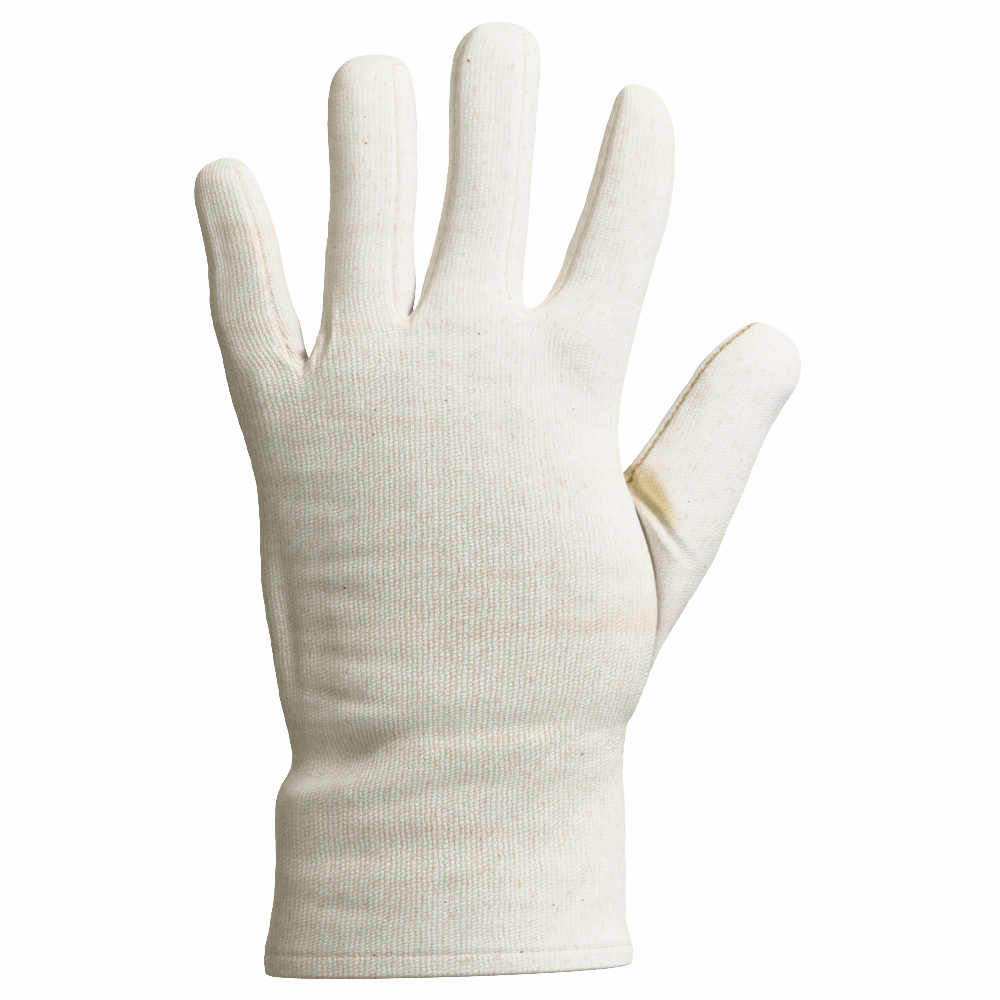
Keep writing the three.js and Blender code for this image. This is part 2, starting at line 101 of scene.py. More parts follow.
# Digits: each section is along, across, width, depth and tilt, and square rounds them off
# as it does in the hand part. A digit has three faces on each side and a point between them.
fingers = [
    {
        "name": "little", "length": 58, "width": 21, "depth": 18.5, "lean": -12.5, "curl": 9, "square": 2.4,
        "rootWidth": 1.074, "rootDepth": 24, "backSeams": (-150, -60), "palmSeams": (150, 14),
        "sections": [
            (0.15, -0.04, 1.041, 1.05, 2),
            (0.34, -0.072, 0.995, 0.98, 0),
            (0.56, -0.03, 0.91, 0.98, 0),
            (0.83, -0.065, 0.84, 0.88, 0),
            (0.95, -0.072, 0.63, 0.6, 0),
        ],
        "tip": (1.0, -0.055, 0.25),
    },
    {
        "name": "ring", "length": 75.8, "width": 23.4, "depth": 20.5, "lean": 1.2, "curl": 8, "square": 2.4,
        "rootWidth": 1.087, "rootDepth": 27, "backSeams": (-166, -61), "palmSeams": (146, 22),
        "sections": [
            (0.14, 0.048, 1.073, 1.05, 14),
            (0.34, 0.044, 0.98, 0.96, 4),
            (0.55, 0.074, 0.971, 1.0, 0),
            (0.83, 0.021, 0.99, 0.9, 0),
            (0.955, 0.05, 0.74, 0.6, 0),
        ],
        "tip": (0.994, 0.085, 0.27),
    },
    {
        "name": "middle", "length": 78.1, "width": 23.6, "depth": 21, "lean": 5.3, "curl": 7, "square": 2.4,
        "rootWidth": 1.283, "rootDepth": 28, "backSeams": (-146, -54), "palmSeams": (142, 34),
        "sections": [
            (0.13, -0.009, 1.076, 1.06, 0),
            (0.34, 0.047, 0.973, 0.97, 0),
            (0.55, 0.046, 0.952, 1.0, 0),
            (0.83, 0.012, 1.0, 0.9, 0),
            (0.95, 0.045, 0.72, 0.62, 0),
        ],
        "tip": (0.987, 0.045, 0.25),
    },
    {
        "name": "index", "length": 68.8, "width": 23, "depth": 20.5, "lean": 11.6, "curl": 8, "square": 2.4,
        "rootWidth": 1.102, "rootDepth": 26, "backSeams": (-142, -38), "palmSeams": (146, 38),
        "sections": [
            (0.15, 0.113, 1.055, 1.05, -9),
            (0.34, 0.174, 0.99, 0.97, -2),
            (0.55, 0.246, 0.948, 1.0, 0),
            (0.82, 0.213, 0.81, 0.88, 0),
            (0.945, 0.138, 0.53, 0.6, 0),
        ],
        "tip": (0.991, 0.09, 0.2),
    },
]
thumb = {
    "name": "thumb", "length": 70, "width": 25.5, "depth": 23, "lean": 29.8, "curl": 7, "square": 2,
    "root": (0.48, 0.25, 0.7245),
    "backSeams": (-122, -36), "palmSeams": (176, 36),
    "sections": [
        (0.113, 0.06, 1.5, 1.2, -34),
        (0.347, 0.06, 1.22, 1.1, -19),
        (0.68, 0.024, 0.98, 1.0, 0),
        (0.845, 0.074, 0.935, 0.92, 4),
        (0.955, 0.077, 0.66, 0.62, 3),
    ],
    "tip": (1.002, 0.035, 0.28),
}
handSize = (glove["handWidth"], glove["handDepth"], glove["bodyHeight"])
thumbRoot = np.array(thumb["root"]) * handSize
digitFaces = 3
backPoints = digitFaces * len(fingers) + 1
ringCount = 2 * backPoints + 2
rightSide = backPoints + 1


def lerp(a, b, t):
    return a + (b - a) * t


def smooth(value, low, high):
    t = np.clip((value - low) / (high - low), 0, 1)
    return t * t * (3 - 2 * t)


def roundedPoint(angle, square):
    c, s = math.cos(angle), math.sin(angle)
    return (
        math.copysign(abs(c) ** (2 / square), c),
        math.copysign(abs(s) ** (2 / square), s),
    )


def distanceAlong(points, start):
    # Distance along a row of points, counted from the point numbered start.
    steps = np.linalg.norm(np.diff(points, axis=0), axis=1)
    arc = np.concatenate([[0], np.cumsum(steps)])
    return arc - np.interp(start, range(len(arc)), arc)


def digitAngles(digit):
    b0, b1 = digit["backSeams"]
    p0, p1 = digit["palmSeams"]
    angles = [lerp(b0, b1, k / 3) for k in range(4)]
    angles.append((b1 + p1) / 2)
    angles += [lerp(p1, p0, k / 3) for k in range(4)]
    angles.append((b0 + 360 + p0) / 2)
    return [math.radians(a) for a in angles]


def digitWays(digit):
    lean = math.radians(digit["lean"])
    up = np.array([math.sin(lean), 0, math.cos(lean)])
    side = np.array([math.cos(lean), 0, -math.sin(lean)])
    return up, side


def digitPoint(digit, root, along, across, forward, tilt=0, centre=0):
    up, side = digitWays(digit)
    turn = math.radians(tilt)
    rise = along * digit["length"] + across * math.sin(turn)
    sideways = across * math.cos(turn) + centre
    bow = np.array([0, forward + digit["curl"] * along * along, 0])
    return root + up * rise + side * sideways + bow


def digitRings(digit, root):
    rings = []
    for along, across, width, depth, tilt in digit["sections"]:
        centre = across * digit["width"] * math.cos(math.radians(tilt))
        ring = []
        for angle in digitAngles(digit):
            x, y = roundedPoint(angle, digit["square"])
            x *= width * digit["width"] / 2
            y *= depth * digit["depth"] / 2
            ring.append(digitPoint(digit, root, along, x, y, tilt, centre))
        rings.append(np.array(ring))
    along, across, spread = digit["tip"]
    tips = [
        digitPoint(digit, root, along, (across + way * spread / 2) * digit["width"], 0)
        for way in (-1, 1)
    ]
    return rings, tips


def rootRing():
    def span(first, last):
        return sum(f["rootWidth"] * f["width"] for f in fingers[first:last])

    corners = []
    for w, (height, seam, reach) in enumerate(webs):
        index = middleWeb["index"]
        x = middleWeb["across"] * glove["handWidth"]
        x += -span(w, index) if w < index else span(index, w)
        z = height * glove["bodyHeight"]
        corners.append({
            "middle": np.array([x, 0, z]),
            "x": x + seam * glove["handWidth"],
            "z": z - abs(seam) * glove["handWidth"] * cornerDrop,
            "reach": reach * glove["handDepth"],
        })

    def row(face):
        points = []
        for f, finger in enumerate(fingers):
            a, b = corners[f], corners[f + 1]
            for k in range(1 if f else 0, 4):
                t = k / 3
                swell = math.sin(math.pi * t)
                reach = lerp(lerp(a["reach"], b["reach"], t), finger["rootDepth"] / 2, swell)
                points.append([lerp(a["x"], b["x"], t), face * reach, lerp(a["z"], b["z"], t)])
        return points

    ring = [corners[0]["middle"], *row(-1), corners[-1]["middle"], *reversed(row(1))]
    return np.array(ring), [c["middle"] for c in corners[1:-1]]


def bodyRing(height, left, right, back, palm, square, root):
    share = height / glove["bodyHeight"]
    rise = smooth(share, *drift["height"])
    spacing = smooth(share, *drift["spacing"])
    depth = lerp(glove["cuffDepth"], glove["handDepth"], smooth(share, *drift["depth"]))
    low = glove["thumbHoleBottom"] / glove["bodyHeight"]
    high = glove["thumbHoleTop"] / glove["bodyHeight"]
    below = smooth(share, low - drift["belowHole"], low)
    above = smooth(share, high, high + drift["aboveHole"])
    left, right = -left * glove["handWidth"], right * glove["handWidth"]
    rootLeft, rootRight = root[0][0], root[rightSide][0]
    ring = []
    for j, top in enumerate(root):
        inward = max(0, j / rightSide - 1)
        drawn = glove["thumbHoleReach"] * inward * (1 - inward) ** 2 * below * (1 - above)
        even = roundedPoint(math.pi * (1 + 2 * j / ringCount + drawn), square)[0]
        across = lerp(even, (top[0] - rootLeft) / (rootRight - rootLeft) * 2 - 1, spacing)
        reach = (1 - min(1, abs(across)) ** square) ** (1 / square) if j % rightSide else 0
        x = lerp(left, right, (across + 1) / 2)
        y = -reach * back * depth if j < rightSide else reach * palm * depth
        slope = glove["hemSlope"] * (x / glove["handWidth"]) * (1 - share)
        ring.append([x, y, height + (top[2] - glove["bodyHeight"]) * rise + slope])
    return np.array(ring)


# The glove as one coarse sheet of quads. Each quad knows its panel, and each corner its
# place on the flat cloth: u across the columns of knitting and v along them.
class Sheet:
    def __init__(self):
        self.points = []
        self.quads = []
        self.panels = []
        self.islands = []
        self.cloth = {}
        self.tips = []

    def add(self, points):
        first = len(self.points)
        self.points += [np.array(p, float) for p in points]
        return list(range(first, len(self.points)))

    def quad(self, panel, corners, island=None):
        self.quads.append(corners)
        self.panels.append(panel)
        self.islands.append(island or panel)

    def arrays(self):
        keys = {}
        clothQuads = [
            [keys.setdefault((island, i), len(keys)) for i in corners]
            for island, corners in zip(self.islands, self.quads)
        ]
        places = np.array([self.cloth[key] for key in keys])
        return np.array(self.points), np.array(self.quads), places, np.array(clothQuads)


def growDigit(sheet, digit, root, rootPoints, panelOf, layRing):
    rings, tips = digitRings(digit, root)
    below = rootPoints
    for points in rings:
        ring = sheet.add(points)
        layRing(ring)
        for k in range(len(ring)):
            n = (k + 1) % len(ring)
            sheet.quad(panelOf(k), [below[k], below[n], ring[n], ring[k]])
        below = ring
    f0, f1, f2, f3, right, b3, b2, b1, b0, left = below
    m1, m2 = sheet.add(tips)
    sheet.tips += [m1, m2]
    back, palm = panelOf(1), panelOf(6)
    for panel, pairs in ((back, ((m1, f1), (m2, f2))), (palm, ((m1, b1), (m2, b2)))):
        for middle, near in pairs:
            u, v = sheet.cloth[panel, near]
            step = np.linalg.norm(sheet.points[middle] - sheet.points[near])
            sheet.cloth[panel, middle] = (u, v + step)
    for corners in ([f0, f1, m1, left], [f1, f2, m2, m1], [f2, f3, right, m2]):
        sheet.quad(back, corners)
    for corners in ([left, m1, b1, b0], [m1, m2, b2, b1], [m2, right, b3, b2]):
        sheet.quad(palm, corners)


def layStrip(sheet, island, strip, start, centre, up, zero):
    # Lays a row of points on the flat cloth of a digit's panel.
    points = np.array([sheet.points[i] for i in strip])
    for i, p, u in zip(strip, points, distanceAlong(points, start)):
        sheet.cloth[island, i] = (centre + u, float((p - zero[0]) @ up) + zero[1])


def gloveSheet():
    sheet = Sheet()
    root, webMiddles = rootRing()
    sections = [(0, *hemSection), (glove["hemHeight"], *hemSection)]
    holeRows = []
    for stage, up, *rest in bodySections:
        if stage == len(holeRows) + 1:
            holeRows.append(len(sections))
        sections.append((lerp(stages[stage], stages[stage + 1], up), *rest))
    rings = [bodyRing(*s, root) for s in sections] + [root]
    rows = [sheet.add(ring) for ring in rings]

    # On the hand part the knitting's columns keep their number from side seam to side seam.
    columns = {
        "back": list(range(rightSide + 1)),
        "palm": [0, *range(ringCount - 1, rightSide - 1, -1)],
    }
    for r, ring in enumerate(rings):
        for face, order in columns.items():
            strip = ring[order]
            arc = distanceAlong(strip, np.interp(0, strip[:, 0], range(len(strip))))
            for j, u in zip(order, arc):
                even = glove["halfWales"] / abs(arc[0] if u < 0 else arc[-1])
                place = (u * lerp(1, even, glove["walesKept"]), ring[j][2])
                for island in (f"{face}_panel", f"hem_{face}"):
                    sheet.cloth[island, rows[r][j]] = place
    for r in range(len(rows) - 1):
        for j in range(ringCount):
            if holeRows[0] <= r < holeRows[1] and rightSide <= j < rightSide + 2:
                continue
            n = (j + 1) % ringCount
            face = "back" if j < rightSide else "palm"
            corners = [rows[r][j], rows[r][n], rows[r + 1][n], rows[r + 1][j]]
            if r == 0:
                sheet.quad("cuff_hem", corners, f"hem_{face}")
            else:
                sheet.quad(f"{face}_panel", corners)

    top = rows[-1]
    webPoints = [top[0], *sheet.add(webMiddles), top[rightSide]]
    for f, finger in enumerate(fingers):
        first = 1 + 3 * f
        back = [top[first + k] for k in range(4)]
        palm = [top[ringCount - first - k] for k in range(3, -1, -1)]
        left, right = webPoints[f], webPoints[f + 1]
        origin = (sheet.points[left] + sheet.points[right]) / 2
        up = digitWays(finger)[0]

        def panelOf(k, f=f):
            if k < 3:
                return "back_panel"
            if 4 < k < 8:
                return "palm_panel"
            web = f if k > 4 else f + 1
            if web in (0, len(fingers)):
                return "back_panel" if k in (3, 9) else "palm_panel"
            return f"fourchette_{web}"

        def layRing(ring, f=f, up=up, back=back, palm=palm, left=left, right=right):
            f0, f1, f2, f3, rightPoint, b3, b2, b1, b0, leftPoint = ring
            for island, near, strip in (
                ("back_panel", back[1:3], [leftPoint, f0, f1, f2, f3, rightPoint]),
                ("palm_panel", palm[1:3], [leftPoint, b0, b1, b2, b3, rightPoint]),
            ):
                centre, height = np.mean([sheet.cloth[island, i] for i in near], axis=0)
                zero = (np.mean([sheet.points[i] for i in near], axis=0), height)
                layStrip(sheet, island, strip, 2.5, centre, up, zero)
            if f + 1 < len(fingers):
                zero = (sheet.points[right], 0)
                layStrip(sheet, f"fourchette_{f + 1}", [f3, rightPoint, b3], 1, 0, -up, zero)
            if f:
                zero = (sheet.points[left], 0)
                layStrip(sheet, f"fourchette_{f}", [f0, leftPoint, b0], 1, 0, up, zero)

        if f:
            layStrip(sheet, f"fourchette_{f}", [back[0], left, palm[3]], 1, 0, 0 * up, (origin, 0))
        growDigit(sheet, finger, origin, [*back, right, *palm, left], panelOf, layRing)

    low, high = holeRows
    down = list(range(high, low - 1, -1))
    hole = [rows[r][rightSide] for r in down] + [rows[low][rightSide + 1]]
    hole += [rows[r][rightSide + 2] for r in reversed(down)] + [rows[high][rightSide + 1]]
    thumbUp = digitWays(thumb)[0]

    def layThumb(ring):
        f0, f1, f2, f3, right, b3, b2, b1, b0, left = ring
        zero = (thumbRoot, 0)
        layStrip(sheet, "thumb_back", [left, f0, f1, f2, f3, right], 2.5, 0, thumbUp, zero)
        layStrip(sheet, "thumb_palm", [left, b0, b1, b2, b3, right], 2.5, 0, thumbUp, zero)

    layThumb(hole)
    growDigit(
        sheet, thumb, thumbRoot, hole,
        lambda k: "thumb_back" if k < 4 or k == 9 else "thumb_palm", layThumb,
    )
    return sheet


def gather(index, values, count):
    # Adds up the values that go to each index.
    flat = index.ravel()
    values = values.reshape(len(flat), -1)
    return np.stack([np.bincount(flat, v, count) for v in values.T], axis=1)


def subdivide(points, quads):
    # One step of Catmull-Clark. The points that were there come first in the result.
    count = len(points)
    middles = points[quads].mean(axis=1)
    ends = np.stack([quads, np.roll(quads, -1, axis=1)], axis=2).reshape(-1, 2)
    pairs, edgeOf = np.unique(np.sort(ends, axis=1), axis=0, return_inverse=True)
    edgeOf = edgeOf.reshape(-1, 4)
    shared = (np.bincount(edgeOf.ravel()) == 2)[:, None]
    middlesAtEdge = gather(edgeOf, np.repeat(middles, 4, axis=0), len(pairs))
    endSum = points[pairs].sum(axis=1)
    edgePoints = np.where(shared, (endSum + middlesAtEdge) / 4, endSum / 2)

    both = pairs[:, ::-1]
    valence = np.bincount(pairs.ravel(), minlength=count)[:, None]
    near = gather(pairs, points[both].reshape(-1, points.shape[1]), count) / valence
    faces = gather(quads, np.repeat(middles, 4, axis=0), count)
    faces /= np.bincount(quads.ravel(), minlength=count)[:, None]
    moved = ((valence - 2) * points + near + faces) / valence
    rim = pairs[~shared[:, 0]]
    rimNear = gather(rim, points[rim[:, ::-1]].reshape(-1, points.shape[1]), count)
    onRim = np.bincount(rim.ravel(), minlength=count)[:, None] > 0
    moved = np.where(onRim, (6 * points + rimNear) / 8, moved)

    faceIndex = count + np.arange(len(quads))
    edgeIndex = count + len(quads) + edgeOf
    finer = np.stack(
        [
            np.stack([quads[:, k], edgeIndex[:, k], faceIndex, edgeIndex[:, k - 1]], axis=1)
            for k in range(4)
        ],
        axis=1,
    )
    return np.concatenate([moved, middles, edgePoints]), finer.reshape(-1, 4)


def fitted(points, quads):
    # Moves the points out until the smooth surface passes through where they were.
    wanted = points.copy()
    for _ in range(glove["fitRounds"]):
        now = subdivide(*subdivide(points, quads))[0][: len(points)]
        points = points + wanted - now
    return points


def normalsOf(points, quads):
    a, b, c, d = (points[quads[:, k]] for k in range(4))
    normal = np.cross(c - a, d - b)
    total = gather(quads, np.repeat(normal, 4, axis=0), len(points))
    return total / np.linalg.norm(total, axis=1)[:, None]


def edgesOf(quads):
    return np.stack([quads, np.roll(quads, -1, axis=1)], axis=2).reshape(-1, 2)


def seamLines(quads, panels):
    # Chains of points where two panels meet, with the names of the two panels.
    facesAt = {}
    for edge, face in zip(edgesOf(quads).tolist(), np.repeat(np.arange(len(quads)), 4).tolist()):
        facesAt.setdefault((min(edge), max(edge)), []).append(face)
    near = {}
    between = {}
    for (a, b), faces in facesAt.items():
        names = sorted({panels[f] for f in faces})
        if len(names) == 2:
            near.setdefault(a, []).append(b)
            near.setdefault(b, []).append(a)
            between[a, b] = between[b, a] = tuple(names)
    lines = []
    left = {edge for edge in between if edge[0] < edge[1]}

    def walk(a, b):
        line = [a, b]
        pair = between[a, b]
        left.discard((min(a, b), max(a, b)))
        while len(near[line[-1]]) == 2:
            n = [p for p in near[line[-1]] if p != line[-2]]
            if not n or between[line[-1], n[0]] != pair:
                break
            edge = (min(line[-1], n[0]), max(line[-1], n[0]))
            if edge not in left:
                break
            left.discard(edge)
            line.append(n[0])
        lines.append((pair, line))

    for a in sorted(near):
        if len(near[a]) != 2:
            for b in near[a]:
                if (min(a, b), max(a, b)) in left:
                    walk(a, b)
    while left:
        walk(*min(left))
    return lines


# Folds and wrinkles: side (-1 back, 1 palm), x, z, angle from level, reach, width, depth
folds = [
    (-1, -45.5, 83.8, 88, 31.9, 15.5, 6.2),
    (-1, -61.8, 188.2, 102, 25.8, 7.4, 2.4),
    (-1, -28.8, 55.3, 15, 16.5, 5.3, 4.0),
    (-1, -28.8, 46.8, 8, 20.6, 4.2, -1.2),
    (-1, 10.3, 58.5, 8, 41.2, 5.1, -1.05),
    (-1, -20.6, 32.2, 4, 30.9, 4.4, 1.05),
    (-1, 25.8, 32.9, 52, 20.6, 5.9, 1.05),
    (-1, -28.8, 67.5, 5, 25.8, 4.4, 0.9),
    (1, 5.2, 57.0, -6, 41.2, 5.9, 1.8),
    (1, -10.3, 43.5, 5, 36.1, 5.9, -1.2),
    (1, 12.4, 105.0, -58, 26.8, 5.9, 1.5),
]
wrinkles = [
    (-1, -26, 106.5, 8, 15, 2.2, 0.75),
    (-1, -24, 115.5, 14, 9, 1.8, 0.5),
    (-1, -33, 121, -4, 10, 2.2, 0.5),
    (-1, -24, 96, -8, 10, 2.4, 0.5),
    (-1, -31, 98, 3, 10, 2.4, 0.5),
    (-1, -30, 89, 4, 16, 2.2, 0.6),
    (-1, -24, 81, -6, 15, 2.2, 0.6),
    (-1, -29, 71, -8, 13, 2.0, 0.8),
    (-1, 0, 69.5, 2, 20, 5, -1.1),
    (-1, -26, 66.5, 6, 15, 2.2, -0.5),
    (-1, -18, 59.5, 20, 14, 2.2, 0.7),
    (-1, -28, 56, 20, 11, 4.2, 2.6),
    (-1, -57, 84, 86, 33, 15, 2.6),
    (-1, -48, 29, 90, 20, 13, -2.6),
    (-1, 0, 17, 4, 45, 17, -1.3),
    (-1, -40.5, 84, 91, 24, 4.4, -1.4),
    (-1, -31, 48.5, 10, 13, 2.4, -0.6),
    (-1, -31, 147.5, 6, 13, 1.6, 0.35),
    (-1, -28, 142.5, -4, 15, 1.5, 0.3),
    (-1, -33, 136.0, 5, 12, 1.7, 0.35),
    (-1, -35, 129.0, 3, 10, 1.7, -0.4),
    (-1, 20, 64, 8, 20, 2.6, 0.5),
    (-1, 32, 70, 40, 9, 2.0, 0.5),
    (-1, 34, 61, 24, 10, 1.8, 0.45),
    (-1, -6, 47, 12, 24, 2.6, 0.7),
    (-1, 16, 40, 38, 18, 2.6, 0.7),
    (-1, 26, 33, 50, 16, 2.2, 0.6),
    (-1, 34, 22, 55, 14, 2.2, 0.6),
    (-1, 4, 24, 34, 18, 2.6, 0.5),
    (-1, -28, 30, 10, 14, 2.6, 0.6),
    (-1, -30, 18, -8, 14, 2.4, 0.55),
    (1, -22, 66, -8, 20, 2.4, 0.5),
    (1, 20, 78, -50, 22, 2.4, 0.6),
    (1, 0, 118, 8, 26, 2.2, 0.5),
    (1, -10, 130, 4, 24, 2.0, 0.5),
    (1, -18, 24, 10, 20, 2.6, 0.5),
    (1, 24, 36, -24, 18, 2.6, 0.5),
]

# Creases that follow a line over one side: points, how deep, how wide, and how far the
# cloth beside them stands up. They fade at their ends and where the cloth turns away.
creases = [
    (-1, [(45.3, 131), (48.4, 123.4), (53.4, 118), (57, 112.5), (62.4, 106.3)], 0.9, 1.0, 0.45),
    (-1, [(47, 127.5), (44.6, 131.5), (41.5, 133)], 0.6, 1.0, 0.2),
    (-1, [(-43.5, 161), (-40.5, 158.6), (-37, 159), (-34.6, 161.8)], 0.8, 0.9, 0.5),
    (-1, [(-32.3, 177), (-31.5, 169), (-32, 162.5), (-34, 158)], 1.0, 0.9, 0.4),
]

creaseFade = {"ends": 0.06, "power": 0.6, "facing": (0.05, 0.4), "lipAway": 2.2}

surface = {
    "seam": {"depth": 0.26, "width": 0.75, "lip": 0.14, "lipAway": 2.1, "lipWidth": 1.2},
    "hemSeam": {"depth": 0.24, "width": 0.7},
    "tipFade": (6, 17),     # from how near a fingertip to how far the seams sink in
    "tipShare": 0.25,       # how deep they still are at the tip
    "puckers": {"depth": 0.05, "pitch": 4.2, "sway": 1.5, "rate": 0.37, "reach": 3.2},
    "hemPuckers": {"depth": 0.025, "pitch": 3.4, "sway": 1.3, "rate": 0.31, "reach": 2.6},
    "firstWave": (37, 11),  # starts the waves elsewhere on each line
    "lumps": ((3, 40, 0.132), (5, 14, 0.088)),    # seed, longest wave, depth
    "hemRoll": 1.3,
}

# The painted shade in the hollow beside the thumb: how far it narrows along its length, how far it
# lies to one side of its middle, and how far round the cloth it reaches
hollowShadePatch = {
    "middle": (51.5, 123),
    "angle": -52,
    "length": 12,
    "width": 4.6,
    "taper": 1.7,
    "aside": 0.7,
    "facing": 0.3,
}
# Darkened seam lines in colour: the seams' own tan with painted shade in their grooves, and a strong
# painted shade along the thumb's seam on its side towards the hand.
seamStainAndShade = {"width": 0.8, "seams": 0.3, "thumb": 1.0}


def pressedIn(points, normals):
    depth = np.zeros(len(points))
    for side, x, z, angle, reach, width, deep in folds + wrinkles:
        facing = np.maximum(0, normals[:, 1] * side)
        dx, dz = points[:, 0] - x, points[:, 2] - z
        c, s = math.cos(math.radians(angle)), math.sin(math.radians(angle))
        along, over = (dx * c + dz * s) / reach, (dz * c - dx * s) / width
        depth += facing * deep * np.exp(-(along ** 2) - over ** 2)
    for side, line, deep, width, lip in creases:
        line = np.array(line)
        best = np.full(len(points), 1e9)
        share = np.zeros(len(points))
        p = points[:, [0, 2]]
        for k, (a, b) in enumerate(zip(line, line[1:])):
            t = np.clip((p - a) @ (b - a) / ((b - a) @ (b - a)), 0, 1)
            away = np.linalg.norm(p - a - t[:, None] * (b - a), axis=1)
            closer = away < best
            best = np.where(closer, away, best)
            share = np.where(closer, (k + t) / (len(line) - 1), share)
        share = np.clip(share, creaseFade["ends"], 1 - creaseFade["ends"])
        fade = np.sin(np.pi * share) ** creaseFade["power"]
        facing = smooth(normals[:, 1] * side, *creaseFade["facing"])
        groove = deep * np.exp(-((best / width) ** 2))
        raised = lip * np.exp(-(((best - creaseFade["lipAway"] * width) / width) ** 2))
        depth += facing * fade * (groove - raised)
    return depth


def lumps(points, seed, longest, shortest=0.45, count=14):
    # Gentle unevenness, between -1 and 1, from waves in many directions.
    random = np.random.default_rng(seed)
    total = np.zeros(len(points))
    for _ in range(count):
        way = random.normal(size=3)
        way /= np.linalg.norm(way)
        length = longest * random.uniform(shortest, 1)
        total += np.sin(points @ way * (2 * math.pi / length) + random.uniform(0, 2 * math.pi))
    return total / math.sqrt(count)


def nearestOnLines(points, lines):
    # How far each point is from the lines, and how far along them it is.
    tree = kdtree.KDTree(sum(len(line) for line in lines))
    step, span = surface["firstWave"]
    along = []
    for line in lines:
        for i, t in zip(line, distanceAlong(points[line], 0)):
            tree.insert(points[i], len(along))
            along.append(t + step * line[0] % span)
    tree.balance()
    found = [tree.find(p) for p in points]
    return np.array([f[2] for f in found]), np.array([along[f[1]] for f in found])


def puckers(along, reach, kind):
    # Small waves that the thread draws into the cloth beside its line.
    size = surface[kind]
    waves = 2 * math.pi * along / size["pitch"] + size["sway"] * np.sin(along * size["rate"])
    return size["depth"] * np.sin(waves) * np.exp(-((reach / size["reach"]) ** 2))


def hollowShadeAt(points, normals):
    # How much painted shade each point gets in the hollow beside the thumb.
    angle = math.radians(hollowShadePatch["angle"])
    way = np.array([math.cos(angle), math.sin(angle)])
    away = points[:, [0, 2]] - hollowShadePatch["middle"]
    along = away @ way / hollowShadePatch["length"]
    width = hollowShadePatch["width"] - hollowShadePatch["taper"] * along
    over = (away @ (-way[1], way[0]) - hollowShadePatch["aside"]) / width
    return np.exp(-(along ** 2) - over ** 2) * (normals[:, 1] < hollowShadePatch["facing"])


sheet = gloveSheet()
points, quads, cloth, clothQuads = sheet.arrays()
panels = np.array(sheet.panels)
points = fitted(points, quads)
levels = []
for _ in range(glove["fineness"]):
    points, quads = subdivide(points, quads)
    cloth, clothQuads = subdivide(cloth, clothQuads)
    panels = np.repeat(panels, 4)
    levels.append((quads, clothQuads, panels))
normals = normalsOf(points, quads)
print("surface subdivided:", len(quads), "quads")

lines = seamLines(quads, panels)
hemLines = [line for pair, line in lines if "cuff_hem" in pair]
sewnLines = [line for pair, line in lines if "cuff_hem" not in pair]
reach, along = nearestOnLines(points, sewnLines)
hemReach, hemAlong = nearestOnLines(points, hemLines)
tips = np.array([sheet.points[i] for i in sheet.tips])
fromTip = np.min(np.linalg.norm(points[:, None] - tips, axis=2), axis=1)
seamFade = smooth(fromTip, *surface["tipFade"])
seam, hemSeam = surface["seam"], surface["hemSeam"]
groove = np.exp(-((reach / seam["width"]) ** 2)) * lerp(surface["tipShare"], 1, seamFade)
raised = np.exp(-(((reach - seam["lipAway"]) / seam["lipWidth"]) ** 2)) * seamFade
depth = pressedIn(points, normals)
depth += seam["depth"] * groove - seam["lip"] * raised
depth += hemSeam["depth"] * np.exp(-((hemReach / hemSeam["width"]) ** 2))
depth += puckers(along, reach, "puckers") * (1 - groove) * seamFade
depth += puckers(hemAlong, hemReach, "hemPuckers")
for seed, longest, deep in surface["lumps"]:
    depth += deep * lumps(points, seed, longest)
edgeZ = glove["hemSlope"] * points[:, 0] / glove["handWidth"]
low = np.clip(1 - (points[:, 2] - edgeZ) / surface["hemRoll"], 0, 1)
depth += surface["hemRoll"] * (1 - np.sqrt(1 - low ** 2))
# Painted shade: a warm darkening of the hollow beside the thumb, where the cloth lies in shade.
hollowShade = hollowShadeAt(points, normals)
thumbLines = [line for pair, line in lines if pair == ("thumb_back", "thumb_palm")]
thumbReach = nearestOnLines(points, thumbLines)[0]
inner = (points - thumbRoot) @ digitWays(thumb)[1] < 0
# Painted shade along the seams' grooves, strongest along the thumb's seam towards the hand, with the seams'
# own tan.
stainAndShade = np.maximum(
    seamStainAndShade["seams"] * np.exp(-((reach / seamStainAndShade["width"]) ** 2)),
    seamStainAndShade["thumb"] * inner * np.exp(-((thumbReach / seamStainAndShade["width"]) ** 2)),
)
flatNormals = normals
points = points - normals * depth[:, None]
normals = normalsOf(points, quads)
print("seams and folds pressed in:", len(sewnLines), "seam lines and", len(hemLines), "at the hem")


def newObject(name, data):
    made = bpy.data.objects.new(name, data)
    bpy.context.scene.collection.objects.link(made)
    return made


def rimOf(meshQuads):
    # The edges that only one quad has, in that quad's order.
    edges = {}
    for a, b in edgesOf(meshQuads).tolist():
        if (b, a) in edges:
            del edges[b, a]
        else:
            edges[a, b] = True
    return edges


